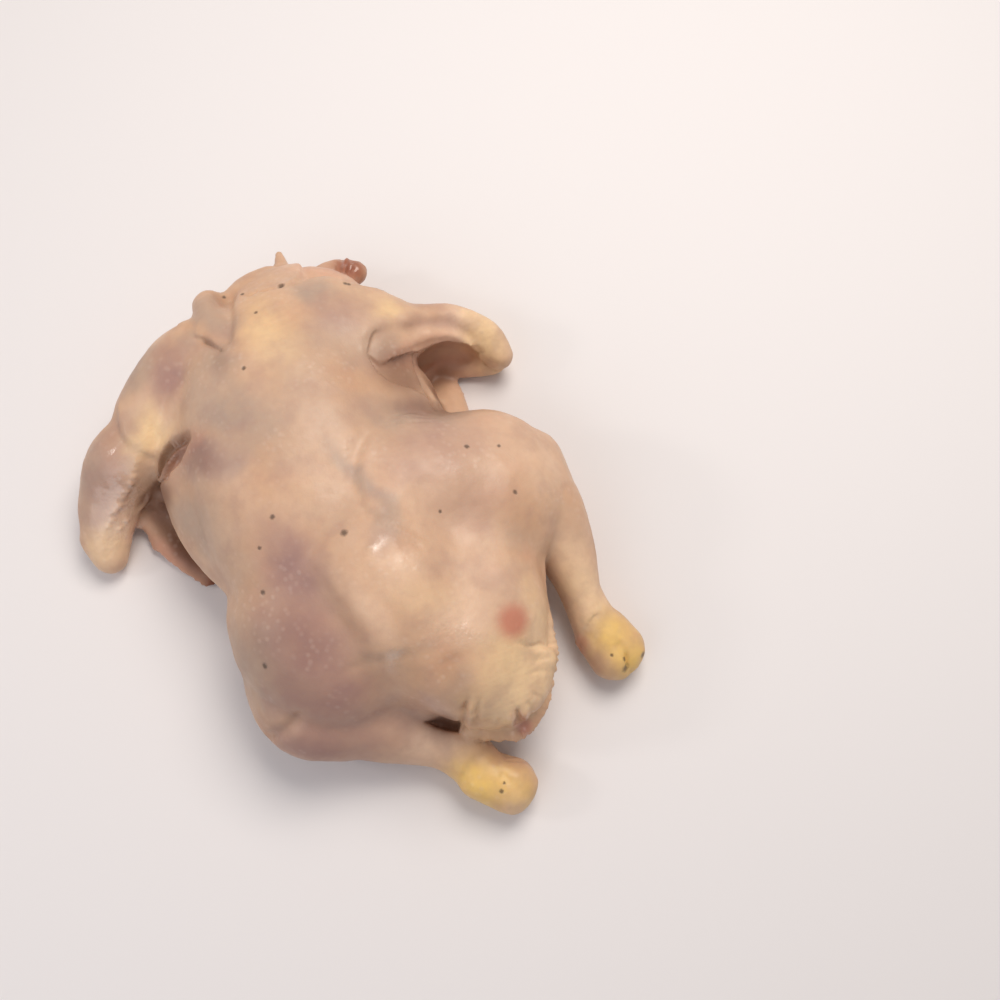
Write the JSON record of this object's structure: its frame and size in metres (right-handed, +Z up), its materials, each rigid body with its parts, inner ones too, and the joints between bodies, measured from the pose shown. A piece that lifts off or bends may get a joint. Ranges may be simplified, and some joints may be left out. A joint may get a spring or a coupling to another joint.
{
  "type": "whole raw chicken",
  "caption": "Whole plucked chicken lying breast down, back up, with folded wings, legs, tail flap and neck skin.",
  "frame": {"origin": "on the surface that the bird rests on, under the middle of its bounding box", "axes": "+Y towards the neck, -Y towards the tail, +Z up through the back; the bird's left side is at -X"},
  "size_m": [0.2491, 0.3192, 0.0935],
  "materials": {
    "raw_skin": "moist, pale pinkish skin"
  },
  "bodies": {
    "root": {"chicken": "raw_skin"}
  },
  "joints": []
}
